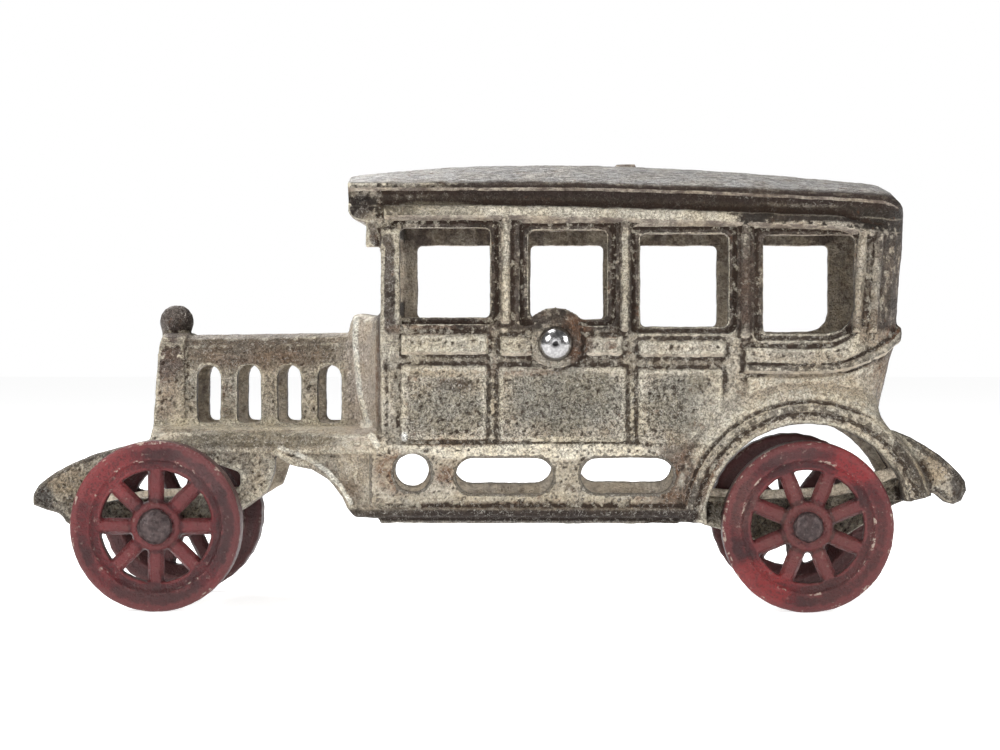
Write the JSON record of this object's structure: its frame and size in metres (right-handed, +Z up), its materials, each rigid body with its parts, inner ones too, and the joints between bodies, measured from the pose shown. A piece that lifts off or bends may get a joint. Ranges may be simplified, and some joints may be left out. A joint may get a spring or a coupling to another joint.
{
  "type": "cast iron toy taxi",
  "caption": "Cast iron toy limousine taxi: two hollow riveted body halves with open windows, louvred hood and running boards, on spoked wheels that roll.",
  "frame": {"origin": "middle of the toy's length and width, on the ground under its wheels", "axes": "+X towards the rear of the car, +Y towards its right side, +Z up; the left side of the car, at -Y, is the side seen in the picture"},
  "size_m": [0.1646, 0.0562, 0.0795],
  "materials": {
    "worn_nickel": "worn nickel plate on sand-cast iron, grey-brown patina with rust",
    "worn_red_paint": "dull dark red paint, rubbed through on the edges",
    "dark_iron": "dark browned iron",
    "polished_steel": "polished domed rivet head"
  },
  "bodies": {
    "body": {"body_left": "worn_nickel", "body_right": "worn_nickel", "centre_rivet": "polished_steel"},
    "front_axle": {"front_axle": "dark_iron"},
    "rear_axle": {"rear_axle": "dark_iron"},
    "front_left_wheel": {"front_wheel_left": "worn_red_paint"},
    "front_right_wheel": {"front_wheel_right": "worn_red_paint"},
    "rear_left_wheel": {"rear_wheel_left": "worn_red_paint"},
    "rear_right_wheel": {"rear_wheel_right": "worn_red_paint"}
  },
  "joints": [
    {"name": "front_axle_spin", "type": "hinge", "parent": "body", "child": "front_axle", "pos_m": [-0.0596, 0, 0.015], "axis": [0, 1, 0], "continuous": true},
    {"name": "front_left_wheel_spin", "type": "hinge", "parent": "front_axle", "child": "front_left_wheel", "pos_m": [-0.0596, -0.0221, 0.015], "axis": [0, 1, 0], "continuous": true},
    {"name": "front_right_wheel_spin", "type": "hinge", "parent": "front_axle", "child": "front_right_wheel", "pos_m": [-0.0596, 0.0221, 0.015], "axis": [0, 1, 0], "continuous": true},
    {"name": "rear_axle_spin", "type": "hinge", "parent": "body", "child": "rear_axle", "pos_m": [0.0546, 0, 0.015], "axis": [0, 1, 0], "continuous": true},
    {"name": "rear_left_wheel_spin", "type": "hinge", "parent": "rear_axle", "child": "rear_left_wheel", "pos_m": [0.0546, -0.0221, 0.015], "axis": [0, 1, 0], "continuous": true},
    {"name": "rear_right_wheel_spin", "type": "hinge", "parent": "rear_axle", "child": "rear_right_wheel", "pos_m": [0.0546, 0.0221, 0.015], "axis": [0, 1, 0], "continuous": true}
  ]
}
